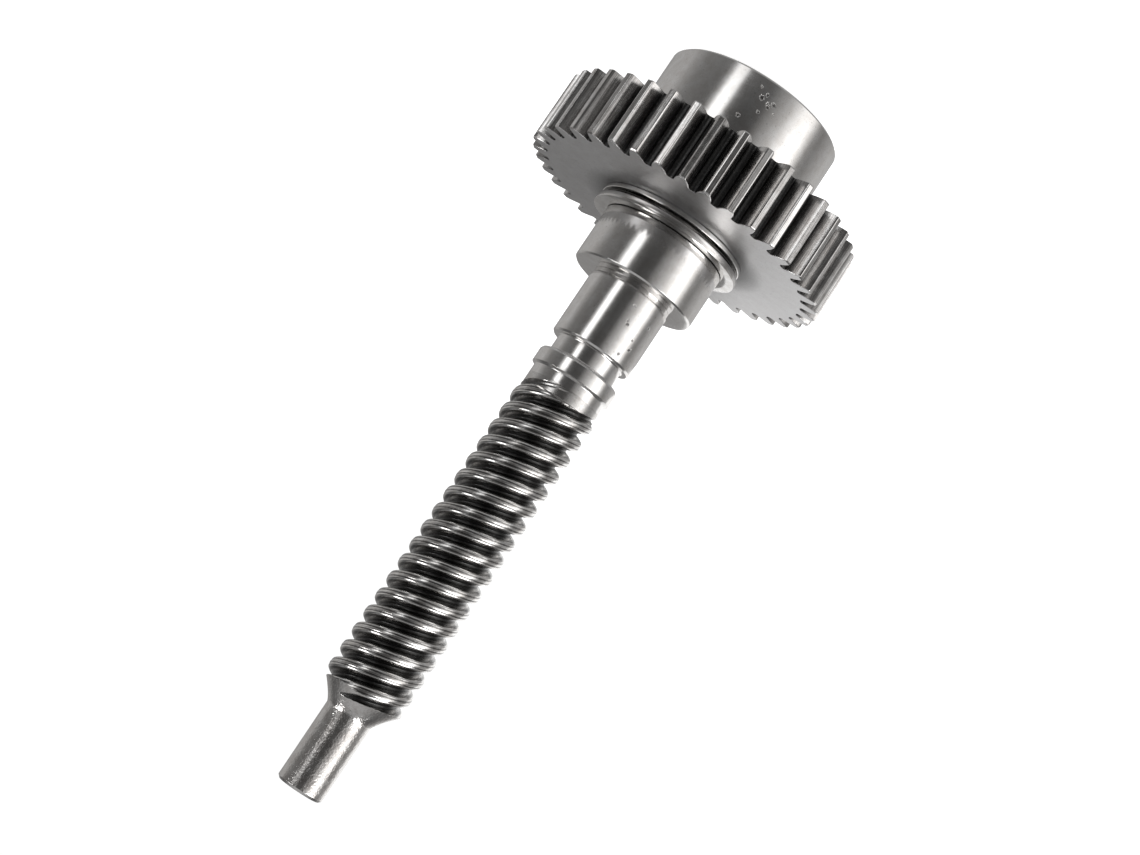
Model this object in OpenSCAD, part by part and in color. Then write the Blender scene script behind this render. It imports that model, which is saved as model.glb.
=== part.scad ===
// Worm shaft with a spur gear that rides on a spring-loaded slip hub.
// The part stands on the hub's rear face: +Z runs along the shaft, from the
// hub at the bottom to the tail journal at the top.

/* [Gear] */
// Number of teeth on the spur gear
gear_teeth = 39; // [30:1:45]
// Gear module in millimetres
gear_module = 1.5; // [1.4:0.05:1.55]
// Face width of the gear
gear_w = 13; // [10:0.1:13]
// Depth of the recess for the friction disc
gear_recess = 1.15; // [0.8:0.05:1.5]

/* [Hub] */
// Diameter of the rear flange
flange_d = 35.5; // [34:0.1:38]
// Thickness of the rear flange
flange_w = 15; // [12:0.1:15]
// Diameter of the front boss, which is also the gear's journal
boss_d = 24.6; // [24:0.1:24.8]
// Height of the boss's front face above the rear face
boss_top = 41.8; // [40:0.1:44]
// Diameter of the recess for the end screw
recess_d = 22; // [20.5:0.5:24]

/* [Shaft] */
// Diameter of the bearing seat and the land
seat_d = 16.2; // [16:0.1:16.5]
// Diameter of the neck groove
neck_d = 13.2; // [12:0.1:14]
// Diameter of the relief beside the worm
relief_d = 14.8; // [14.2:0.1:15]
// Diameter of the tail journal
tail_d = 9; // [8:0.1:10]
// Overall height of the part
shaft_top = 148.1; // [140:0.1:156]
// Diameter of the keyed spigot inside the hub
spigot_d = 14; // [12:0.1:14]

/* [Worm] */
// Outside diameter of the worm
worm_d = 15.9; // [15:0.1:16.1]
// Root diameter of the worm
worm_root_d = 12.3; // [12:0.1:13]
// Number of starts
worm_starts = 3; // [1:1:4]
// Axial distance between neighbouring threads
worm_pitch = 3.6; // [3:0.1:4]
// Rings per turn of the thread's mesh
worm_rings = 18; // [12:1:24]

/* [Hidden] */
$fn = 96;

// heights along the shaft
z_gear = flange_w + 0.05;            // rear face of the gear
z_face = z_gear + gear_w;            // front face of the gear
z_wash = z_face + 0.03;              // thrust washer
wash_w = 0.92;
z_wave = z_wash + wash_w;            // wave spring
wave_w = 1.0;
z_ring = z_wave + wave_w;            // retaining ring
ring_w = 1.2;
z_neck = 55.7;
z_land = 59.05;
z_relief = 62.3;
z_pocket = 64.5;                     // lowest point of the thread's run-out
z_worm = 66.6;                       // the worm's full diameter starts here
z_flare = 128.3;
z_tail = 132.8;
groove_d = 23.2;                     // retaining ring groove
bush_od = 27.4;
play = 0.05;                         // radial running clearance

// end fastening
recess_h = 8;
screw_top = 22;
shaft_bottom = 8.5;
key_w = 5;
key_z0 = 11;
key_l = 24;

// thread
lead = worm_pitch * worm_starts;
rr = worm_root_d / 2;
rw = worm_d / 2;
z_ref = 126.8;                       // a crest points along +X at this height

// radius of the conical flare between worm and tail journal
function flare(z) = tail_d/2 + (rw - tail_d/2) * pow(max(0, z_tail - z) / (z_tail - z_flare), 1.35);
function envelope(z) =
    z < z_pocket ? relief_d/2 - 0.15 :
    z < z_worm ? relief_d/2 - 0.02 :
    z > z_flare ? min(rw, flare(z) - 0.02) : min(rw, relief_d/2 - 0.02 + (z - z_worm) * 1.1);
// [offset from the crest in axial millimetres at a 3.6 pitch, height 0 to 1]
thread_form = [[-1.55, 0.02], [-1.25, 0.36], [-0.92, 0.8], [-0.5, 0.98], [0, 1], [0.5, 0.98], [0.92, 0.8], [1.25, 0.36], [1.55, 0.02]];
// the cutter leaves each groove in a leaf-shaped pocket that ends in the relief
function lift(z) = 1.3 * pow(max(0, z_pocket + 3.9 - z) / 3.7, 2);
function thread_r(h, z) = min(envelope(z), rr + (rw - rr) * h + lift(z));

slice = lead / worm_rings;
zs = concat([z_pocket - 0.3, z_pocket, z_pocket + 0.4, z_pocket + 0.8, z_pocket + 1.3, z_pocket + 1.8, z_worm, z_worm + 0.5],
    [for (z = [z_worm + 0.5 + slice : slice : z_flare - 0.2]) z],
    [z_flare, z_flare + 0.5, z_flare + 1, z_flare + 1.4, z_flare + 1.9]);

module thread() {
    n = worm_starts * len(thread_form);
    pts = [for (z = zs) for (s = [0 : worm_starts - 1]) for (p = thread_form)
        let (a = 360 * (z - z_ref) / lead + s * 360 / worm_starts + p[0] / 3.6 * 360 / worm_starts,
             r = thread_r(p[1], z))
        [r * cos(a), r * sin(a), z]];
    m = len(zs);
    sides = [for (i = [0 : m - 2]) for (j = [0 : n - 1])
        let (a = i*n + j, b = i*n + (j + 1) % n, c = a + n, d = b + n)
        each [[a, d, b], [a, c, d]]];
    caps = [[for (j = [0 : n - 1]) j], [for (j = [n - 1 : -1 : 0]) (m - 1)*n + j]];
    polyhedron(points = pts, faces = concat(sides, caps), convexity = 10);
}

module worm_shaft() {
    zc = z_flare + 1.6;
    color("silver") difference() {
        union() {
            rotate_extrude() polygon(concat(
                [[0, shaft_bottom], [spigot_d/2 - 0.5, shaft_bottom], [spigot_d/2, shaft_bottom + 0.5],
                 [spigot_d/2, boss_top], [seat_d/2 - 0.2, boss_top], [seat_d/2 - 0.2, boss_top + 0.9],
                 [seat_d/2, boss_top + 1.1],
                 [seat_d/2, z_neck - 0.3], [seat_d/2 - 0.3, z_neck], [neck_d/2, z_neck],
                 [neck_d/2, z_land], [seat_d/2 - 0.8, z_land], [seat_d/2 - 0.3, z_land + 0.2],
                 [seat_d/2, z_land + 0.65],
                 [seat_d/2, z_relief], [relief_d/2, z_relief + 0.4],
                 [relief_d/2, z_pocket], [rr - 0.15, z_pocket], [rr - 0.15, zc]],
                [for (i = [0 : 5]) let (z = zc + (z_tail - zc) * i / 5) [flare(z), z]],
                [[tail_d/2, shaft_top - 0.5], [tail_d/2 - 0.5, shaft_top], [1.35, shaft_top],
                 [0.55, shaft_top - 1.4], [0.55, shaft_top - 2.9], [0, shaft_top - 3.2]]));
            thread();
        }
        translate([0, 0, shaft_bottom - 1]) cylinder(r = 3, h = 18.5);
        translate([-key_w/2, spigot_d/2 - 3, key_z0]) cube([key_w, 6, key_l]);
    }
}

module gear_hub() {
    color("silver") difference() {
        rotate_extrude() polygon([[0, 0], [flange_d/2 - 0.5, 0], [flange_d/2, 0.5],
            [flange_d/2, flange_w - 0.3], [flange_d/2 - 0.3, flange_w], [boss_d/2, flange_w],
            [boss_d/2, z_ring - 0.05], [groove_d/2, z_ring - 0.05],
            [groove_d/2, z_ring + ring_w + 0.1], [boss_d/2, z_ring + ring_w + 0.1],
            [boss_d/2, boss_top - 0.3], [boss_d/2 - 0.3, boss_top], [0, boss_top]]);
        translate([0, 0, -1]) cylinder(d = spigot_d, h = boss_top + 2);
        translate([0, 0, -1]) cylinder(d = recess_d, h = recess_h + 1);
        translate([-key_w/2, 0, recess_h - 1]) cube([key_w, spigot_d/2 + 2.3, boss_top]);
    }
}

// involute tooth, half angle at radius r
rp = gear_teeth * gear_module / 2;
rb = rp * cos(20);
ra = rp + gear_module;
rf = rp - 1.25 * gear_module;
function inv(r) = let (a = acos(min(1, rb / r))) tan(a) * 180 / PI - a;
function half(r) = 90 / gear_teeth + inv(rp) - inv(r);
flank0 = max(rb, rf) + 0.35;
module gear_outline() {
    step = 360 / gear_teeth;
    g = step / 2 - half(flank0);
    polygon([for (i = [0 : gear_teeth - 1]) let (c = 266.7 + i * step)
        each concat(
            [for (k = [0 : 4]) let (r = flank0 + (ra - flank0) * k / 4) [r * cos(c - half(r)), r * sin(c - half(r))]],
            [for (k = [4 : -1 : 0]) let (r = flank0 + (ra - flank0) * k / 4) [r * cos(c + half(r)), r * sin(c + half(r))]],
            [for (k = [-60 : 30 : 60]) let (b = c + step/2 + g * sin(k), r = rf + (flank0 - rf) * (1 - cos(k))) [r * cos(b), r * sin(b)]])]);
}

module spur_gear() {
    color("gray") difference() {
        translate([0, 0, z_gear]) linear_extrude(height = gear_w, convexity = 10) gear_outline();
        translate([0, 0, z_gear - 1]) cylinder(d = bush_od, h = gear_w + 2);
        translate([0, 0, z_gear - 1]) cylinder(r = 16.8, h = gear_recess + 1);
    }
}

module gear_bush() {
    color("peru") translate([0, 0, z_gear + gear_recess + 0.02]) difference() {
        cylinder(d = bush_od, h = gear_w - gear_recess - 0.02);
        translate([0, 0, -1]) cylinder(r = boss_d/2 + play, h = gear_w + 2);
    }
}

module friction_disc() {
    color("dimgray") translate([0, 0, flange_w]) difference() {
        cylinder(r = 16.6, h = gear_recess + 0.02);
        translate([0, 0, -1]) cylinder(r = boss_d/2 + play, h = 4);
    }
}

module thrust_washer() {
    color("silver") translate([0, 0, z_wash]) difference() {
        cylinder(r = 14.75, h = wash_w);
        translate([0, 0, -1]) cylinder(r = boss_d/2 + 0.02, h = 4);
    }
}

// three-wave spring washer: a thin strip that waves between its neighbours
module wave_spring() {
    n = 60;
    t = 0.35;
    r0 = boss_d/2 + 0.25;
    r1 = 14;
    amp = (wave_w - t) / 2;
    zz = function (a) z_wave + wave_w/2 + amp * sin(3 * a);
    color("dimgray") polyhedron(
        points = [for (i = [0 : n - 1]) let (a = i * 360 / n)
            each [[r0*cos(a), r0*sin(a), zz(a) - t/2], [r1*cos(a), r1*sin(a), zz(a) - t/2],
                  [r1*cos(a), r1*sin(a), zz(a) + t/2], [r0*cos(a), r0*sin(a), zz(a) + t/2]]],
        faces = [for (i = [0 : n - 1]) for (k = [0 : 3])
            let (a = 4*i + k, b = 4*i + (k + 1) % 4, c = 4*((i + 1) % n) + k, d = 4*((i + 1) % n) + (k + 1) % 4)
            each [[a, b, d], [a, d, c]]], convexity = 6);
}

// external retaining ring; its gap and pliers lugs are at +Y
function ring_r(a) = a < 100 ? 15.1 : 15.1 - 1.5 * (a - 100) / 80;
module retaining_ring() {
    color("silver") translate([0, 0, z_ring]) linear_extrude(height = ring_w, convexity = 6) difference() {
        union() {
            polygon([for (a = [-180 : 4 : 176]) let (r = ring_r(abs(a))) [r * cos(a - 90), r * sin(a - 90)]]);
            for (s = [-1, 1]) rotate(90 + s * 12) translate([14, 0]) circle(r = 2.3, $fn = 32);
        }
        circle(d = groove_d + 0.1);
        for (s = [-1, 1]) rotate(90 + s * 12) translate([14.2, 0]) circle(r = 1, $fn = 24);
        polygon([[0, 0], [-1.5, 20], [1.5, 20]]);
    }
}

module drive_key() {
    color("gray") translate([-key_w/2 + 0.01, spigot_d/2 - 2.99, key_z0 + 0.01]) cube([key_w - 0.02, 5, key_l - 0.02]);
}

module end_washer() {
    color("silver") translate([0, 0, recess_h - 2]) difference() {
        cylinder(d = 20, h = 2);
        translate([0, 0, -1]) cylinder(r = 3.3, h = 4);
    }
}

module lock_washer() {
    color("gray") translate([0, 0, recess_h - 3.4]) difference() {
        cylinder(r = 5.2, h = 1.4);
        translate([0, 0, -1]) cylinder(r = 3.1, h = 4);
        translate([0, 4.5, 0.7]) rotate([0, 20, 0]) cube([0.5, 6, 6], center = true);
    }
}

module end_screw() {
    color("gray") {
        translate([0, 0, recess_h - 7.4]) cylinder(r = 5 / cos(30), h = 4, $fn = 6);
        translate([0, 0, recess_h - 3.5]) cylinder(r = 2.98, h = screw_top - recess_h + 3.5);
    }
}

worm_shaft();
gear_hub();
spur_gear();
gear_bush();
friction_disc();
thrust_washer();
wave_spring();
retaining_ring();
drive_key();
end_washer();
lock_washer();
end_screw();
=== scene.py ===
import math
import bpy
import numpy as np
from mathutils import Matrix


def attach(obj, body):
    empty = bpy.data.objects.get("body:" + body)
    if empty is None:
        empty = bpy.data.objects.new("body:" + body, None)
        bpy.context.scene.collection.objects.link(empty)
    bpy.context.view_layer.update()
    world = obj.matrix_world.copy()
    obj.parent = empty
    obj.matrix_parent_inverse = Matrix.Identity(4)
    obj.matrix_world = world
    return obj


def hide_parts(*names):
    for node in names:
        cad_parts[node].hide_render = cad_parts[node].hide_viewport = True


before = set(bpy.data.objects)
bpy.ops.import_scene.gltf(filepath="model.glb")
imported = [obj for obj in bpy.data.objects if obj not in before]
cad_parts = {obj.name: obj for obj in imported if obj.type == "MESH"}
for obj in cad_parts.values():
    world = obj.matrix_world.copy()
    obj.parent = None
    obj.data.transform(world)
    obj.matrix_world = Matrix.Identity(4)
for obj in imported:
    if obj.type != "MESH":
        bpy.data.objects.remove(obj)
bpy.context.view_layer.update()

MM = 0.001
TAU = 2 * math.pi
scene = bpy.context.scene
scene.view_settings.view_transform = "Standard"
scene.view_settings.look = "None"

# ------------------------------------------------------------------ camera
cam_data = bpy.data.cameras.new("camera")
cam_data.sensor_fit = "HORIZONTAL"
cam_data.sensor_width = 36
cam_data.lens = 57.909
cam_data.clip_start = 0.01
cam_data.clip_end = 20
cam = bpy.data.objects.new("camera", cam_data)
scene.collection.objects.link(cam)
right = (-0.832438, -0.08429, -0.54767)
up = (0.554118, -0.12663, -0.82275)
back = (0.0, -0.98836, 0.15212)
pos = (-0.004353, -0.32588, 0.11901)
cam.matrix_world = Matrix([[right[i], up[i], back[i], pos[i]] for i in range(3)] + [[0, 0, 0, 1]])
scene.camera = cam


# ------------------------------------------------------------------ mesh tools
def mesh_object(name, verts, faces, angle=32):
    me = bpy.data.meshes.new(name)
    me.from_pydata([tuple(v) for v in np.asarray(verts, float) * MM], [], faces)
    me.validate()
    me.shade_smooth()
    me.set_sharp_from_angle(angle=math.radians(angle))
    ob = bpy.data.objects.new(name, me)
    scene.collection.objects.link(ob)
    return ob


def grid_faces(rows, n, torus):
    f = []
    m = rows if torus else rows - 1
    for i in range(m):
        a, b = i * n, ((i + 1) % rows) * n
        for j in range(n):
            k = (j + 1) % n
            f.append((a + j, a + k, b + k, b + j))
    return f


def loops_object(name, loops, torus=False, angle=32):
    """Joins loops of the same point count, lowest first and anticlockwise from above."""
    n = len(loops[0])
    v = np.concatenate(loops)
    f = grid_faces(len(loops), n, torus)
    if not torus:
        v = np.concatenate([v, [loops[0].mean(0)], [loops[-1].mean(0)]])
        b, t = len(v) - 2, len(v) - 1
        e = (len(loops) - 1) * n
        for j in range(n):
            k = (j + 1) % n
            f.append((k, j, b))
            f.append((e + j, e + k, t))
    return mesh_object(name, v, f, angle)


def circle(r, z, n, twist=0.0):
    a = np.arange(n) * TAU / n + twist
    return np.stack([r * np.cos(a), r * np.sin(a), np.full(n, z)], 1)


def rounded(points, steps=5):
    """Corner points (r, z, radius) to a smooth list of (r, z)."""
    out = []
    n = len(points)
    for i, (r, z, q) in enumerate(points):
        p = np.array([r, z], float)
        if q <= 0 or i == 0 or i == n - 1:
            out.append(p)
            continue
        a = np.array(points[i - 1][:2], float) - p
        b = np.array(points[i + 1][:2], float) - p
        la, lb = np.linalg.norm(a), np.linalg.norm(b)
        a, b = a / la, b / lb
        half = math.acos(max(-1, min(1, float(a @ b)))) / 2
        if half > 1.55:
            out.append(p)
            continue
        t = min(q / math.tan(half), la * 0.48, lb * 0.48)
        q = t * math.tan(half)
        c = p + (a + b) / np.linalg.norm(a + b) * q / math.sin(half)
        s, e = p + a * t - c, p + b * t - c
        for k in range(steps + 1):
            w = k / steps
            d = s * math.sin((1 - w) * (math.pi - 2 * half)) + e * math.sin(w * (math.pi - 2 * half))
            out.append(c + d / math.sin(math.pi - 2 * half))
    return out


def split_long(profile, most):
    out = [profile[0]]
    for p in profile[1:]:
        d = np.linalg.norm(np.array(p) - np.array(out[-1]))
        k = max(1, int(math.ceil(d / most)))
        q = np.array(out[-1], float)
        for i in range(1, k + 1):
            out.append(q + (np.array(p, float) - q) * i / k)
    return out


def ring_object(name, points, n=240, angle=32):
    """A ring from a closed section of corner points (r, z, radius), anticlockwise in (r, z)."""
    pts = list(points)
    mid = ((pts[0][0] + pts[-1][0]) / 2, (pts[0][1] + pts[-1][1]) / 2, 0)
    prof = rounded([mid] + pts + [mid])[:-1]
    return loops_object(name, [circle(p[0], p[1], n) for p in prof], torus=True, angle=angle)


STARTS, PITCH, Z_REF = 3, 3.6, 126.8
LEAD = STARTS * PITCH

# ------------------------------------------------------------------ materials
def nodes_of(name):
    mat = bpy.data.materials.new(name)
    mat.use_nodes = True
    nt = mat.node_tree
    nt.nodes.clear()
    return mat, nt


def add(nt, kind, **kw):
    n = nt.nodes.new(kind)
    for k, v in kw.items():
        setattr(n, k, v)
    return n


def math_node(nt, op, a, b=None, c=None, clamp=False):
    n = add(nt, "ShaderNodeMath", operation=op, use_clamp=clamp)
    for i, v in enumerate((a, b, c)):
        if v is None:
            continue
        if isinstance(v, (int, float)):
            n.inputs[i].default_value = v
        else:
            nt.links.new(v, n.inputs[i])
    return n.outputs[0]


def ramp(nt, fac, stops):
    n = add(nt, "ShaderNodeValToRGB")
    e = n.color_ramp.elements
    while len(e) < len(stops):
        e.new(0.5)
    for s, (p, c) in zip(e, stops):
        s.position = p
        s.color = (c, c, c, 1) if isinstance(c, (int, float)) else tuple(c) + (1,)
    nt.links.new(fac, n.inputs[0])
    return n.outputs[0]


def vector(nt, x, y, z):
    n = add(nt, "ShaderNodeCombineXYZ")
    for i, v in enumerate((x, y, z)):
        if isinstance(v, (int, float)):
            n.inputs[i].default_value = v
        else:
            nt.links.new(v, n.inputs[i])
    return n.outputs[0]


def noise(nt, vec, scale, detail=3.0, rough=0.5):
    n = add(nt, "ShaderNodeTexNoise")
    n.inputs["Scale"].default_value = scale
    n.inputs["Detail"].default_value = detail
    n.inputs["Roughness"].default_value = rough
    nt.links.new(vec, n.inputs["Vector"])
    return n.outputs["Fac"]


def mix_colour(nt, fac, a, b, blend="MIX"):
    n = add(nt, "ShaderNodeMix", data_type="RGBA", blend_type=blend)
    for v, s in ((fac, n.inputs[0]), (a, n.inputs[6]), (b, n.inputs[7])):
        if isinstance(v, (int, float)):
            s.default_value = v
        elif isinstance(v, tuple):
            s.default_value = v + (1,)
        else:
            nt.links.new(v, s)
    return n.outputs[2]


def metal(name, colour, rough, aniso=0.0, line=0.16, line_bump=0.25, mottle=0.08, pits=(), pit_r=1.0, painted_shade_and_oil=None,
          grain=0.0, grain_scale=9.0, along_z=False, lead=None, tint=(0.80, 0.78, 0.76), metallic=1.0, streak=0.0):
    """Turned, ground or hobbed metal. line is the spacing of the tool marks in mm, the shade argument (r0, r1, amount)
    paints shade into the metal, darkening it from radius r1 down to r0 where hollows lie in shade (in tooth roots also
    dark oil), lead makes the marks follow a thread of that lead, and along_z makes them run along the axis instead of
    round it."""
    mat, nt = nodes_of(name)
    out = add(nt, "ShaderNodeOutputMaterial")
    bsdf = add(nt, "ShaderNodeBsdfPrincipled")
    nt.links.new(bsdf.outputs[0], out.inputs[0])
    bsdf.inputs["Metallic"].default_value = metallic
    bsdf.inputs["Anisotropic"].default_value = aniso
    if aniso:
        tan = add(nt, "ShaderNodeTangent", direction_type="RADIAL", axis="Z")
        nt.links.new(tan.outputs[0], bsdf.inputs["Tangent"])
    co = add(nt, "ShaderNodeTexCoord").outputs["Object"]
    mm = add(nt, "ShaderNodeVectorMath", operation="SCALE")
    mm.inputs["Scale"].default_value = 1000
    nt.links.new(co, mm.inputs[0])
    sep = add(nt, "ShaderNodeSeparateXYZ")
    nt.links.new(mm.outputs[0], sep.inputs[0])
    x, y, z = sep.outputs
    r = math_node(nt, "SQRT", math_node(nt, "ADD", math_node(nt, "MULTIPLY", x, x), math_node(nt, "MULTIPLY", y, y)))
    theta = math_node(nt, "ARCTAN2", y, x)
    k = 1.0 / line
    if along_z:
        lines = vector(nt, math_node(nt, "MULTIPLY", x, k), math_node(nt, "MULTIPLY", y, k), math_node(nt, "MULTIPLY", z, 0.12))
    elif lead:
        turn = math_node(nt, "SUBTRACT", z, math_node(nt, "MULTIPLY", theta, lead / TAU))
        # the thread repeats every lead, so the marks are laid on a circle of that length
        ph = math_node(nt, "MULTIPLY", turn, TAU / lead)
        q = lead / TAU * k
        lines = vector(nt, math_node(nt, "MULTIPLY", math_node(nt, "COSINE", ph), q),
                       math_node(nt, "MULTIPLY", math_node(nt, "SINE", ph), q), math_node(nt, "MULTIPLY", z, 0.10))
        # painted shade in the hollows between the crest marks
        crest_gap_shade_wave = math_node(nt, "COSINE", math_node(nt, "MULTIPLY", math_node(nt, "SUBTRACT", turn, Z_REF), TAU / 0.72))
    else:
        lines = vector(nt, math_node(nt, "MULTIPLY", r, k), math_node(nt, "MULTIPLY", z, k),
                       math_node(nt, "MULTIPLY", math_node(nt, "ADD", x, y), 0.05))
    fine = noise(nt, lines, 1.0, 4.0, 0.6)
    blotch = noise(nt, mm.outputs[0], 0.55, 4.0, 0.6)
    speck = noise(nt, mm.outputs[0], 3.2, 3.0, 0.65)

    # colour: mottled, lined, specked, with painted shade darkening it towards the roots
    dull = tuple(c * t for c, t in zip(colour, tint))
    col = mix_colour(nt, ramp(nt, blotch, [(0.36, 0.0), (0.66, 1.0)]), dull, colour)
    col = mix_colour(nt, 1.0, col, ramp(nt, fine, [(0.30, 1 - streak), (0.62, 1.0)]), "MULTIPLY") if streak else col
    if lead:
        # painted shade in the hollows between the crest marks, broken up by the specks
        crest_gap_shade = math_node(nt, "ADD", math_node(nt, "ADD", math_node(nt, "MULTIPLY", crest_gap_shade_wave, 0.5), 0.5), math_node(nt, "MULTIPLY", math_node(nt, "SUBTRACT", speck, 0.5), 1.1))
        col = mix_colour(nt, 1.0, col, ramp(nt, crest_gap_shade, [(0.10, 0.26), (0.46, 1.0)]), "MULTIPLY")
    col = mix_colour(nt, 1.0, col, ramp(nt, speck, [(0.26, 0.62), (0.38, 1.0)]), "MULTIPLY")
    height = math_node(nt, "MULTIPLY", fine, line_bump)
    if grain:
        g = noise(nt, mm.outputs[0], grain_scale, 2.0, 0.5)
        height = math_node(nt, "ADD", height, math_node(nt, "MULTIPLY", g, grain))
    if pits:
        # a few small pits on the front of a round wall: (x, z, radius) in mm
        near = None
        wob = math_node(nt, "MULTIPLY", math_node(nt, "SUBTRACT", speck, 0.5), 0.9)
        for px, pz, pr in pits:
            rad = pit_r if pz < 20 or pit_r < 15 else 12.3
            py = -math.sqrt(rad * rad - px * px)
            dv = add(nt, "ShaderNodeVectorMath", operation="DISTANCE")
            nt.links.new(mm.outputs[0], dv.inputs[0])
            dv.inputs[1].default_value = (px, py, pz)
            q = math_node(nt, "SUBTRACT", dv.outputs["Value"], pr)
            near = q if near is None else math_node(nt, "MINIMUM", near, q)
        depth = ramp(nt, math_node(nt, "MULTIPLY", math_node(nt, "ADD", near, wob), -2.5), [(0.0, 0.0), (0.5, 1.0)])
        col = mix_colour(nt, math_node(nt, "MULTIPLY", depth, 0.8), col, (0.16, 0.155, 0.15))
        height = math_node(nt, "SUBTRACT", height, math_node(nt, "MULTIPLY", depth, 6.0))
    ro = math_node(nt, "ADD", rough - mottle / 2, math_node(nt, "MULTIPLY", blotch, mottle))
    ro = math_node(nt, "ADD", ro, math_node(nt, "MULTIPLY", math_node(nt, "SUBTRACT", fine, 0.5), mottle * 0.9))
    # painted shade: the colour darkens and roughens towards the smaller radius, where roots and hollows lie in shade
    if painted_shade_and_oil:
        r0, r1, amount = painted_shade_and_oil
        d = math_node(nt, "DIVIDE", math_node(nt, "SUBTRACT", r, r0), r1 - r0, clamp=True)
        d = math_node(nt, "ADD", d, math_node(nt, "MULTIPLY", math_node(nt, "SUBTRACT", speck, 0.5), 0.5), clamp=True)
        low = tuple(c * (1 - amount) for c in colour)
        col = mix_colour(nt, d, low, col)
        ro = math_node(nt, "ADD", ro, math_node(nt, "MULTIPLY", math_node(nt, "SUBTRACT", 1.0, d), 0.18))
    nt.links.new(col, bsdf.inputs["Base Color"])
    nt.links.new(ro, bsdf.inputs["Roughness"])
    bump = add(nt, "ShaderNodeBump")
    bump.inputs["Strength"].default_value = 1.0
    bump.inputs["Distance"].default_value = 0.00001
    nt.links.new(height, bump.inputs["Height"])
    nt.links.new(bump.outputs[0], bsdf.inputs["Normal"])
    return mat


def put(ob, mat, body, node):
    ob.data.materials.append(mat)
    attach(ob, body)
    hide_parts(node)
    return ob


# ------------------------------------------------------------------ worm shaft
R_ROOT, R_TIP, R_RELIEF = 6.12, 7.95, 7.4
Z_POCKET, Z_W0, Z_FLARE, Z_TAIL = 64.5, 66.6, 128.3, 132.8
PER = 60
NC = STARTS * PER

form_x = np.array([0, 0.45, 0.72, 0.95, 1.13, 1.29, 1.43, 1.6, 1.8])
form_h = np.array([1, 0.985, 0.92, 0.78, 0.56, 0.29, 0.10, 0.015, 0])
fx = np.linspace(-1.8, 1.8, 721)
fh = np.interp(np.abs(fx), form_x, form_h)
kern = np.exp(-0.5 * (np.arange(-40, 41) * 0.005 / 0.055) ** 2)
fh = np.convolve(np.concatenate([fh[:-1]] * 3), kern / kern.sum(), "same")[720:1441]


def ease(t):
    t = np.clip(t, 0, 1)
    return t * t * (3 - 2 * t)


def flare(z):
    return 4.5 + (R_TIP - 4.5) * (max(0.0, Z_TAIL - z) / (Z_TAIL - Z_FLARE)) ** 1.25


def worm_row(z):
    x = (np.arange(NC) % PER) / PER * PITCH - PITCH / 2
    h = np.interp(x, fx, fh)
    r = R_ROOT + (R_TIP - R_ROOT) * h
    # shallow cutter marks along the crest
    r = r - 0.022 * (1 - np.cos(TAU * x / 0.72)) * np.clip((h - 0.45) * 3, 0, 1)
    # the cutter leaves each groove in a leaf-shaped pocket that ends in the relief
    r = r + 1.3 * (max(0.0, Z_POCKET + 3.9 - z) / 3.7) ** 2
    if z > Z_FLARE - 0.6:
        top = min(R_TIP, flare(z))
    elif z < Z_W0:
        top = R_RELIEF
    else:
        top = min(R_TIP, R_RELIEF + (z - Z_W0) * 1.1)
    r = np.minimum(r, top)
    a = TAU * (z - Z_REF) / LEAD + (np.arange(NC) - PER / 2) * TAU / NC
    return np.stack([r * np.cos(a), r * np.sin(a), np.full(NC, z)], 1)


low = rounded([(3.0, 8.5, 0), (6.5, 8.5, 0.1), (7.0, 9.0, 0.1), (7.0, 41.8, 0.02), (7.9, 41.8, 0.05), (7.9, 42.65, 0.12), (8.1, 42.9, 0.05),
               (8.1, 55.35, 0.06), (7.78, 55.7, 0.06), (6.6, 55.7, 0.3), (6.6, 59.05, 0.3), (7.3, 59.05, 0.1), (7.82, 59.25, 0.25),
               (8.1, 59.7, 0.25), (8.1, 62.3, 0.06), (7.4, 62.7, 0.2), (7.4, Z_POCKET - 0.2, 0)])
low = split_long(low, 3.0)
twist0 = TAU * (Z_POCKET - Z_REF) / LEAD - (PER / 2) * TAU / NC
rows = [circle(3.0, 26.0, NC, twist0)] + [circle(max(p[0], 0.01), p[1], NC, twist0) for p in low]
zs = sorted(set([round(z, 3) for z in np.arange(Z_POCKET, Z_TAIL - 0.01, 0.2)] + [Z_W0, Z_W0 + 0.5, Z_FLARE, Z_TAIL]))
for z in zs:
    rows.append(worm_row(z))
twist1 = TAU * (Z_TAIL - Z_REF) / LEAD - (PER / 2) * TAU / NC
tail = rounded([(4.5, Z_TAIL, 0), (4.5, 147.6, 0.08), (4.0, 148.1, 0.08), (1.35, 148.1, 0.05), (0.55, 146.7, 0.02), (0.55, 145.2, 0), (0.01, 144.9, 0)])
tail = split_long(tail, 2.5)
rows += [circle(p[0], p[1], NC, twist1) for p in tail[1:]]
worm_shaft = loops_object("worm_shaft_detail", rows, angle=28)

shaft_mat = metal("ground_steel", (0.66, 0.655, 0.65), 0.13, aniso=0.35, line=0.10, line_bump=0.14, mottle=0.07, grain=0.10, tint=(0.90, 0.885, 0.87),
                  pits=((-5.5, 52.3, 0.40), (-4.3, 54.1, 0.34), (-2.7, 48.9, 0.40), (-2.4, 48.3, 0.28), (-2.0, 45.4, 0.30), (-6.3, 46.9, 0.34), (-5.0, 50.6, 0.24)), pit_r=8.1)
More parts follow.
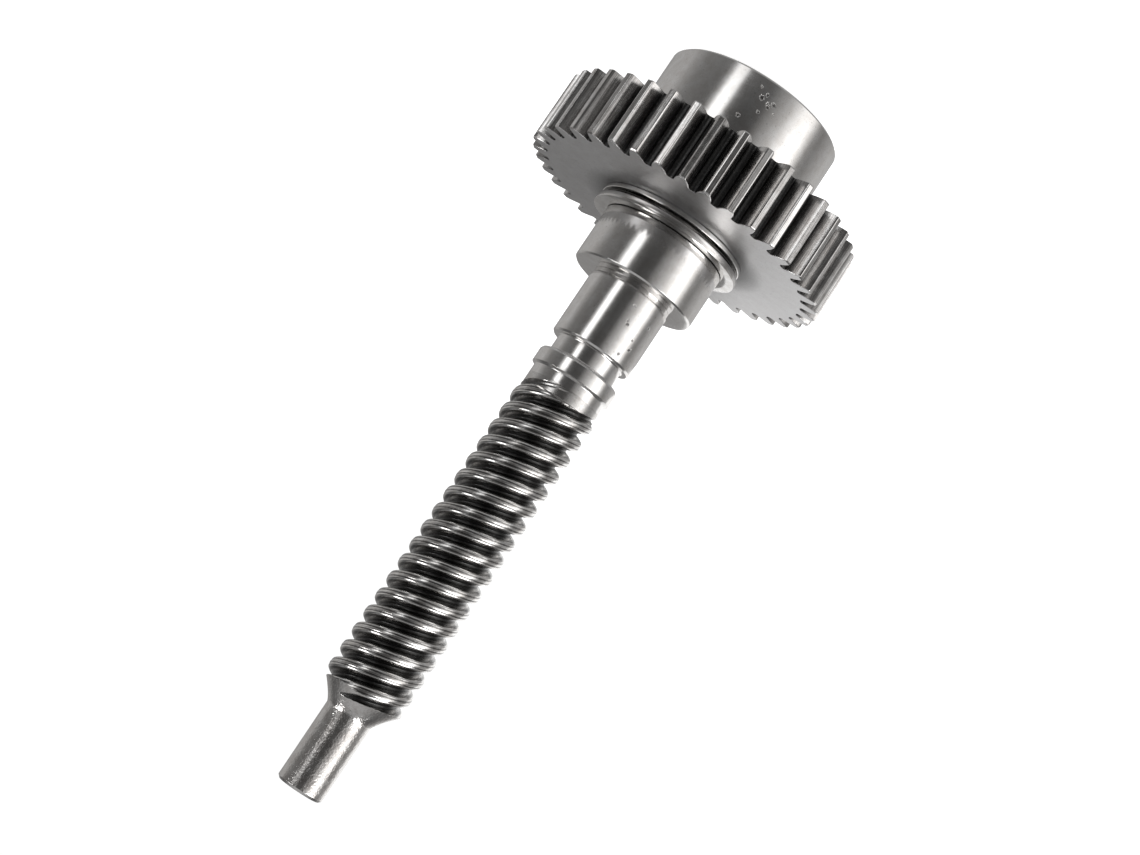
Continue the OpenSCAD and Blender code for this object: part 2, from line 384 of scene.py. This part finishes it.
# the thread's grooves carry painted shade below radius 6.85 mm
thread_mat = metal("worm_thread_steel", (0.84, 0.835, 0.83), 0.15, line=0.17, line_bump=1.6, mottle=0.12, painted_shade_and_oil=(6.2, 6.85, 0.95),
                   lead=LEAD, streak=0.55, tint=(0.82, 0.80, 0.78), grain=0.8)
tail_mat = metal("worn_journal_steel", (0.62, 0.61, 0.60), 0.18, aniso=0.2, line=0.12, line_bump=0.4, mottle=0.12, grain=7.0, grain_scale=2.2,
                 tint=(0.80, 0.78, 0.77))
# the runout pockets carry painted shade towards their bottoms
pocket_mat = metal("groove_runout_steel", (0.62, 0.615, 0.61), 0.18, line=0.17, line_bump=1.2, mottle=0.12, painted_shade_and_oil=(6.4, 7.5, 0.93), tint=(0.82, 0.80, 0.78), grain=0.8)
put(worm_shaft, shaft_mat, "shaft", "worm_shaft")
worm_shaft.data.materials.append(thread_mat)
worm_shaft.data.materials.append(tail_mat)
worm_shaft.data.materials.append(pocket_mat)
for p in worm_shaft.data.polygons:
    zc, rc = p.center.z / MM, math.hypot(p.center.x, p.center.y) / MM
    if zc > Z_FLARE - 0.4 and rc > min(R_TIP, flare(zc)) - 0.05 and rc < R_TIP - 0.1 or zc > Z_TAIL:
        p.material_index = 2
    elif zc > Z_W0 + 0.5 and rc > 5.0:
        p.material_index = 1
    elif zc > Z_POCKET - 0.1 and 5.0 < rc < R_RELIEF - 0.01:
        p.material_index = 3

# ------------------------------------------------------------------ hub
hub_mat = metal("turned_steel", (0.64, 0.635, 0.63), 0.125, aniso=0.40, line=0.14, line_bump=0.16, mottle=0.06, grain=0.06, tint=(0.90, 0.885, 0.87),
                pits=((1.5, 8.9, 0.42), (-0.3, 3.9, 0.52), (-0.9, 3.0, 0.38), (-2.1, 4.8, 0.46), (-1.7, 4.2, 0.30), (-2.8, 3.8, 0.50), (0.7, 2.2, 0.28),
                      (-1.1, 6.5, 0.34), (-3.6, 5.2, 0.26)), pit_r=17.75)
hub = ring_object("gear_hub_detail", [
    (11.0, 0.0, 0.15), (17.35, 0.0, 0.06), (17.75, 0.4, 0.08), (17.75, 14.75, 0.08), (17.5, 15.0, 0.05), (12.3, 15.0, 0.1),
    (12.3, 29.95, 0.04), (11.6, 29.95, 0.06), (11.6, 31.3, 0.06), (12.3, 31.3, 0.04), (12.3, 41.5, 0.1), (12.0, 41.8, 0.08),
    (7.3, 41.8, 0.05), (7.0, 41.5, 0.05), (7.0, 8.0, 0.05), (11.0, 8.0, 0.15)], n=288)
put(hub, hub_mat, "shaft", "gear_hub")

# ------------------------------------------------------------------ spur gear
N, M = 39, 1.5
rp = N * M / 2
rb = rp * math.cos(math.radians(20))
ra, rf = rp + M, rp - 1.25 * M
PHASE = math.radians(266.7)


def inv(r):
    a = math.acos(min(1, rb / r))
    return math.tan(a) - a


def half(r):
    return math.pi / 2 / N + inv(rp) - inv(r)


def gear_outline():
    pts = []
    f0 = max(rb, rf) + 0.30
    g = math.pi / N - half(f0)
    for i in range(N):
        c = PHASE + i * TAU / N
        rs = np.linspace(f0, ra - 0.15, 7)
        left = [(r, c - half(r)) for r in rs] + [(ra - 0.05, c - half(ra - 0.05) + 0.0013), (ra, c - half(ra) + 0.0050)]
        rt = [(r, 2 * c - a) for r, a in reversed(left)]
        mid = [(ra, c)]
        root = []
        for t in np.radians([-75, -64, -52, -39, -26, -13, 0, 13, 26, 39, 52, 64, 75]):
            b = math.pi / N + g * math.sin(t)
            root.append((rf + (f0 - rf) * (1 - math.cos(t)) * 1.0, c + b))
        pts += left + mid + rt + root
    return np.array(pts)


outline = gear_outline()
xy = np.stack([outline[:, 0] * np.cos(outline[:, 1]), outline[:, 0] * np.sin(outline[:, 1])], 1)
d = np.roll(xy, -1, 0) - np.roll(xy, 1, 0)
nrm = np.stack([d[:, 1], -d[:, 0]], 1) / np.linalg.norm(d, axis=1)[:, None]


def gear_loop(z, inset, clip):
    q = xy - nrm * inset
    rr = np.hypot(q[:, 0], q[:, 1])
    s = np.minimum(rr, ra - clip) / rr
    return np.column_stack([q * s[:, None], np.full(len(q), z)])


def gear_ring(r, z):
    a = outline[:, 1]
    return np.stack([r * np.cos(a), r * np.sin(a), np.full(len(a), z)], 1)


Z0, Z1 = 15.05, 28.05
steps = [(0.0, 0.13, 0.26), (0.04, 0.06, 0.22), (0.11, 0.0, 0.15), (0.22, 0.0, 0.04), (0.28, 0.0, 0.0)]
loops = [gear_ring(16.8, Z0 + 1.15), gear_ring(16.8, Z0 + 0.1), gear_ring(16.9, Z0), gear_ring(24.0, Z0), gear_ring(26.6, Z0)]
loops += [gear_loop(Z0 + s, i, c) for s, i, c in steps]
loops += [gear_loop(Z1 - s, i, c) for s, i, c in reversed(steps)]
loops += [gear_ring(26.6, Z1), gear_ring(24.0, Z1), gear_ring(20.0, Z1), gear_ring(16.0, Z1), gear_ring(13.85, Z1), gear_ring(13.7, Z1 - 0.15),
          gear_ring(13.7, Z0 + 1.15)]
gear = loops_object("spur_gear_detail", loops, torus=True, angle=17)
# the gear face carries painted shade next to the hub, where the boss shades it
face_mat = metal("matte_gear_face", (0.56, 0.558, 0.56), 0.36, aniso=0.35, line=0.20, line_bump=0.25, mottle=0.08, painted_shade_and_oil=(13.8, 19.5, 0.68), grain=0.3,
                 tint=(0.9, 0.89, 0.89))
# tooth roots darkened: partly dark oil, partly painted shade in the gaps
tooth_mat = metal("hobbed_tooth_steel", (0.74, 0.735, 0.73), 0.17, line=0.15, line_bump=1.3, mottle=0.12, painted_shade_and_oil=(27.5, 29.4, 0.94),
                  along_z=True, streak=0.50, tint=(0.80, 0.78, 0.77), grain=0.7)
put(gear, face_mat, "gear", "spur_gear")
gear.data.materials.append(tooth_mat)
for p in gear.data.polygons:
    if math.hypot(p.center.x, p.center.y) / MM > 26.9 and abs(p.normal.z) < 0.8:
        p.material_index = 1

# ------------------------------------------------------------------ small pieces
bush = ring_object("gear_bush_detail", [(12.35, 16.25, 0.1), (13.7, 16.25, 0.1), (13.7, 28.03, 0.1), (12.35, 28.03, 0.1)], n=160)
put(bush, metal("sintered_bronze", (0.62, 0.42, 0.22), 0.35, line=0.12, line_bump=0.2, grain=0.6, tint=(0.7, 0.6, 0.5)), "gear", "gear_bush")

disc = ring_object("friction_disc_detail", [(12.36, 15.0, 0.05), (16.6, 15.0, 0.08), (16.6, 16.16, 0.08), (12.36, 16.16, 0.05)], n=160)
put(disc, metal("friction_lining", (0.10, 0.085, 0.07), 0.75, line=0.5, line_bump=0.5, grain=3.0, metallic=0.0), "shaft", "friction_disc")

washer = ring_object("thrust_washer_detail", [(12.33, 28.08, 0.1), (14.75, 28.08, 0.16), (14.75, 28.99, 0.16), (12.33, 28.99, 0.1)], n=200)
washer_mat = metal("ground_washer_steel", (0.60, 0.595, 0.59), 0.17, aniso=0.2, line=0.10, line_bump=0.2)
put(washer, washer_mat, "shaft", "thrust_washer")

# wave spring
n = 240
ang = np.arange(n) * TAU / n
zz = 29.50 + 0.325 * np.sin(3 * ang)
sec = rounded([(12.55, 0.0, 0), (12.55, -0.17, 0.06), (14.0, -0.17, 0.08), (14.0, 0.17, 0.08), (12.55, 0.17, 0.06), (12.55, 0.0, 0)], 3)[:-1]
loops = [np.stack([p[0] * np.cos(ang), p[0] * np.sin(ang), zz + p[1]], 1) for p in sec]
wave = loops_object("wave_spring_detail", loops, torus=True)
spring_mat = metal("dark_spring_steel", (0.07, 0.068, 0.065), 0.26, line=0.2, line_bump=0.3, grain=0.4)
put(wave, spring_mat, "shaft", "wave_spring")


# retaining ring with its gap and pliers lugs on the far side
def ring_piece():
    """Outline walked once round: outer edge from lug to lug, then the inner edge back."""
    ri = 11.65
    gap = math.radians(7.3)
    outer, inner = [], []
    steps_n = 200
    for i in range(steps_n + 1):
        a = gap + (TAU - 2 * gap) * i / steps_n
        t = math.degrees(min(a, TAU - a))
        base = 15.1 if t > 80 else 15.1 - 1.5 * (80 - t) / 80
        lug = 0.0
        if t < 26:
            lug = 16.15
            if t > 17:
                lug = 16.15 - (t - 17) / 9 * 2.3
        outer.append((max(base, lug), a))
        inner.append((ri, a))
    o = np.array([(r * math.cos(a + math.pi / 2), r * math.sin(a + math.pi / 2)) for r, a in outer])
    q = np.array([(r * math.cos(a + math.pi / 2), r * math.sin(a + math.pi / 2)) for r, a in inner])
    return o, q


o2, q2 = ring_piece()
ZR0, ZR1, EB = 30.0, 31.2, 0.10


def strip_loop(zo, inset_o, zi, inset_i):
    c = (o2 + q2) / 2
    u = (o2 - q2) / np.linalg.norm(o2 - q2, axis=1)[:, None]
    return np.column_stack([o2 - u * inset_o, np.full(len(o2), zo)]), np.column_stack([q2 + u * inset_i, np.full(len(q2), zi)])


levels = [(ZR0, EB), (ZR0 + EB * 0.35, EB * 0.35), (ZR0 + EB, 0.0), (ZR1 - EB, 0.0), (ZR1 - EB * 0.35, EB * 0.35), (ZR1, EB)]
cols = []
for z, e in levels:
    a, b = strip_loop(z, e, z, e)
    cols.append((a, b))
m = len(o2)
# section loop at each station: outer wall going up, then inner wall coming down
section = [c[0] for c in cols] + [c[1] for c in reversed(cols)]
k = len(section)
verts = np.array([section[j][i] for i in range(m) for j in range(k)])
faces = []
for i in range(m - 1):
    for j in range(k):
        a, b = i * k + j, i * k + (j + 1) % k
        faces.append((a, a + k, b + k, b))
faces.append(tuple(range(k)))
faces.append(tuple((m - 1) * k + j for j in reversed(range(k))))
ring = mesh_object("retaining_ring_detail", verts, faces)
# pliers holes
for s in (-1, 1):
    an = math.pi / 2 + s * math.radians(12)
    bpy.ops.mesh.primitive_cylinder_add(vertices=40, radius=1.0 * MM, depth=4 * MM,
                                        location=(14.2 * math.cos(an) * MM, 14.2 * math.sin(an) * MM, 30.6 * MM))
    cutter = bpy.context.object
    mod = ring.modifiers.new("hole", "BOOLEAN")
    mod.operation = "DIFFERENCE"
    mod.object = cutter
    mod.solver = "EXACT"
    with bpy.context.temp_override(object=ring, active_object=ring):
        bpy.context.view_layer.objects.active = ring
        bpy.ops.object.modifier_apply(modifier="hole")
    bpy.data.objects.remove(cutter, do_unlink=True)
ring.data.shade_smooth()
ring.data.set_sharp_from_angle(angle=math.radians(32))
put(ring, metal("bright_ring_steel", (0.60, 0.595, 0.59), 0.15, aniso=0.2, line=0.12, line_bump=0.25), "shaft", "retaining_ring")

end_washer = ring_object("end_washer_detail", [(3.3, 6.0, 0.1), (10.0, 6.0, 0.25), (10.0, 8.0, 0.25), (3.3, 8.0, 0.1)], n=120)
put(end_washer, washer_mat, "shaft", "end_washer")

# split lock washer: one turn of square wire, its ends a little apart
m = 120
verts, faces = [], []
sec = rounded([(3.1, 0, 0), (3.1, -0.7, 0.1), (5.2, -0.7, 0.12), (5.2, 0.7, 0.12), (3.1, 0.7, 0.1), (3.1, 0, 0)], 3)[:-1]
k = len(sec)
g0 = math.radians(5)
for i in range(m):
    w = i / (m - 1)
    a = math.pi / 2 + g0 + (TAU - 2 * g0) * w
    for p in sec:
        verts.append((p[0] * math.cos(a), p[0] * math.sin(a), 5.3 + p[1] * 0.985))
for i in range(m - 1):
    for j in range(k):
        a, b = i * k + j, i * k + (j + 1) % k
        faces.append((a, a + k, b + k, b))
faces.append(tuple(range(k)))
faces.append(tuple((m - 1) * k + j for j in reversed(range(k))))
lock = mesh_object("lock_washer_detail", verts, faces)
put(lock, spring_mat, "shaft", "lock_washer")

# hexagon screw: chamfered head, rolled thread on the shank
n = 96
screw_rows = []
hexr = 5 / np.cos((np.arange(n) * TAU / n + math.pi / 6) % (math.pi / 3) - math.pi / 6)
ca = np.arange(n) * TAU / n


def hex_row(z, cap):
    r = np.minimum(hexr, cap)
    return np.stack([r * np.cos(ca), r * np.sin(ca), np.full(n, z)], 1)


screw_rows = [circle(0.02, 0.6, n), circle(4.2, 0.6, n), hex_row(0.62, 4.75), hex_row(0.75, 5.0), hex_row(1.1, 5.55), hex_row(1.32, 5.9),
              hex_row(4.28, 5.9), hex_row(4.5, 5.55), hex_row(4.6, 5.2), circle(3.3, 4.6, n), circle(2.98, 4.75, n), circle(2.98, 8.2, n)]
for z in np.arange(8.3, 21.0, 0.1):
    ph = (TAU * z - ca) % TAU
    r = 2.98 - 0.55 * (0.5 - 0.5 * np.cos(ph)) ** 1.3
    screw_rows.append(np.stack([r * np.cos(ca), r * np.sin(ca), np.full(n, z)], 1))
screw_rows += [circle(2.6, 21.2, n), circle(2.3, 21.8, n), circle(0.02, 21.98, n)]
screw = loops_object("end_screw_detail", screw_rows)
put(screw, metal("blackened_screw_steel", (0.22, 0.22, 0.225), 0.36, line=0.3, line_bump=0.3, grain=0.5), "shaft", "end_screw")

# drive key: bar with rounded long edges
key = None
w, b0, b1, k0, k1 = 2.49, 4.01, 9.01, 11.01, 34.99
sec = []
for cx, cy, st in ((w - 0.2, b1 - 0.2, 0), (-w + 0.2, b1 - 0.2, 90), (-w + 0.2, b0 + 0.2, 180), (w - 0.2, b0 + 0.2, 270)):
    for t in (0, 22.5, 45, 67.5, 90):
        sec.append((cx + 0.2 * math.cos(math.radians(st + t)), cy + 0.2 * math.sin(math.radians(st + t))))
sec = np.array(sec)
mid = sec.mean(0)
loops = [np.column_stack([mid + (sec - mid) * s, np.full(len(sec), z)]) for s, z in ((0.93, k0), (0.98, k0 + 0.05), (1, k0 + 0.18), (1, k1 - 0.18), (0.98, k1 - 0.05), (0.93, k1))]
key = loops_object("drive_key_detail", loops)
put(key, metal("drawn_key_steel", (0.45, 0.445, 0.44), 0.34, along_z=True, line=0.2, line_bump=0.4), "shaft", "drive_key")

# ------------------------------------------------------------------ stage and light
bpy.ops.mesh.primitive_circle_add(vertices=128, radius=1.2, fill_type="NGON", location=(0, 0, -0.0003))
floor = bpy.context.object
floor.name = "floor"
fm, nt = nodes_of("floor_white")
out = add(nt, "ShaderNodeOutputMaterial")
fb = add(nt, "ShaderNodeBsdfPrincipled")
fb.inputs["Base Color"].default_value = (0.92, 0.92, 0.92, 1)
fb.inputs["Roughness"].default_value = 0.9
fb.inputs["Specular IOR Level"].default_value = 0.0
fb.inputs["Emission Color"].default_value = (1, 1, 1, 1)
fb.inputs["Emission Strength"].default_value = 0.80
nt.links.new(fb.outputs[0], out.inputs[0])
floor.data.materials.append(fm)
floor.visible_glossy = False
floor.visible_diffuse = False

world = bpy.data.worlds.new("studio")
scene.world = world
world.use_nodes = True
nt = world.node_tree
nt.nodes.clear()
wout = add(nt, "ShaderNodeOutputWorld")
tc = add(nt, "ShaderNodeTexCoord").outputs["Generated"]
sep = add(nt, "ShaderNodeSeparateXYZ")
nt.links.new(tc, sep.inputs[0])
# studio walls as brightness round the shaft, from -180 to +180 degrees; 0 is straight ahead of the part
az = math_node(nt, "ARCTAN2", math_node(nt, "MULTIPLY", sep.outputs[0], -1.0), math_node(nt, "MULTIPLY", sep.outputs[1], -1.0))
fac = math_node(nt, "ADD", math_node(nt, "DIVIDE", az, TAU), 0.5)


def at(deg):
    return (deg + 180) / 360


warm = lambda v: (v, v * 0.985, v * 0.97)
walls = ramp(nt, fac, [(at(d), warm(v)) for d, v in (
    (-180, 0.31), (-162, 0.36), (-146, 0.50), (-112, 0.56), (-98, 0.38), (-86, 0.24), (-60, 0.17), (-44, 0.20), (-30, 0.16), (-19, 0.12), (-9, 0.08), (9, 0.10), (17, 0.28), (28, 0.52), (38, 0.80), (48, 1.45), (58, 2.10), (72, 2.10), (79, 1.20), (87, 0.40),
    (98, 0.28), (112, 0.44), (134, 0.64), (160, 0.56), (180, 0.33))])
strip = ramp(nt, fac, [(at(d), v) for d, v in ((-180, 0.0), (-52, 0.0), (-46, 0.5), (-42, 2.0), (-31, 1.75), (-27, 0.12), (-21, 0.0), (180, 0.0))])
low_f = ramp(nt, math_node(nt, "ADD", math_node(nt, "MULTIPLY", sep.outputs[2], 0.5), 0.5), [(0.0, 0.0), (0.30, 1.0), (0.44, 1.0), (0.50, 0.30), (0.60, 0.20), (1.0, 0.2)])
walls = mix_colour(nt, 1.0, walls, mix_colour(nt, 1.0, strip, low_f, "MULTIPLY"), "ADD")
# darker above and below, with a small pale ceiling
up_f = ramp(nt, math_node(nt, "ADD", math_node(nt, "MULTIPLY", sep.outputs[2], 0.5), 0.5), [(0.0, 0.9), (0.18, 0.85), (0.34, 0.0), (0.66, 0.0), (0.80, 0.9), (1.0, 1.0)])
top = ramp(nt, math_node(nt, "ADD", math_node(nt, "MULTIPLY", sep.outputs[2], 0.5), 0.5), [(0.0, 0.46), (0.22, 0.40), (0.48, 0.10), (0.86, 0.10), (0.95, 0.42), (1.0, 0.55)])
env = mix_colour(nt, up_f, walls, top)
bg = add(nt, "ShaderNodeBackground")
nt.links.new(env, bg.inputs[0])
bg.inputs[1].default_value = 1.0
white = add(nt, "ShaderNodeBackground")
white.inputs[0].default_value = (1, 1, 1, 1)
white.inputs[1].default_value = 1.05
lp = add(nt, "ShaderNodeLightPath")
mixs = add(nt, "ShaderNodeMixShader")
nt.links.new(lp.outputs["Is Camera Ray"], mixs.inputs[0])
nt.links.new(bg.outputs[0], mixs.inputs[1])
nt.links.new(white.outputs[0], mixs.inputs[2])
nt.links.new(mixs.outputs[0], wout.inputs[0])


def softbox(name, azimuth, elevation, dist, size, size_y, power):
    light = bpy.data.lights.new(name, "AREA")
    light.shape = "RECTANGLE"
    light.size, light.size_y = size, size_y
    light.energy = power
    ob = bpy.data.objects.new(name, light)
    scene.collection.objects.link(ob)
    a, e = math.radians(azimuth), math.radians(elevation)
    d = np.array([-math.sin(a) * math.cos(e), -math.cos(a) * math.cos(e), math.sin(e)])
    p = np.array([0, 0, 0.08]) + d * dist
    zaxis = d
    xaxis = np.cross([0, 0, 1], zaxis)
    xaxis /= np.linalg.norm(xaxis)
    yaxis = np.cross(zaxis, xaxis)
    ob.matrix_world = Matrix([[xaxis[i], yaxis[i], zaxis[i], p[i]] for i in range(3)] + [[0, 0, 0, 1]])
    ob.visible_camera = False
    return ob


softbox("key_light", 60, 35, 0.9, 0.5, 0.5, 5)
softbox("fill_light", -60, 40, 0.9, 0.3, 0.5, 3)
card = bpy.data.lights.new("card_light", "AREA")
card.shape = "RECTANGLE"
card.size, card.size_y = 0.20, 0.16
card.energy = 0.08
card_ob = bpy.data.objects.new("card_light", card)
scene.collection.objects.link(card_ob)
card_ob.matrix_world = Matrix([[1, 0, 0, -0.118], [0, 0, 1, 0.16], [0, -1, 0, 0.10], [0, 0, 0, 1]])
card_ob.visible_camera = False
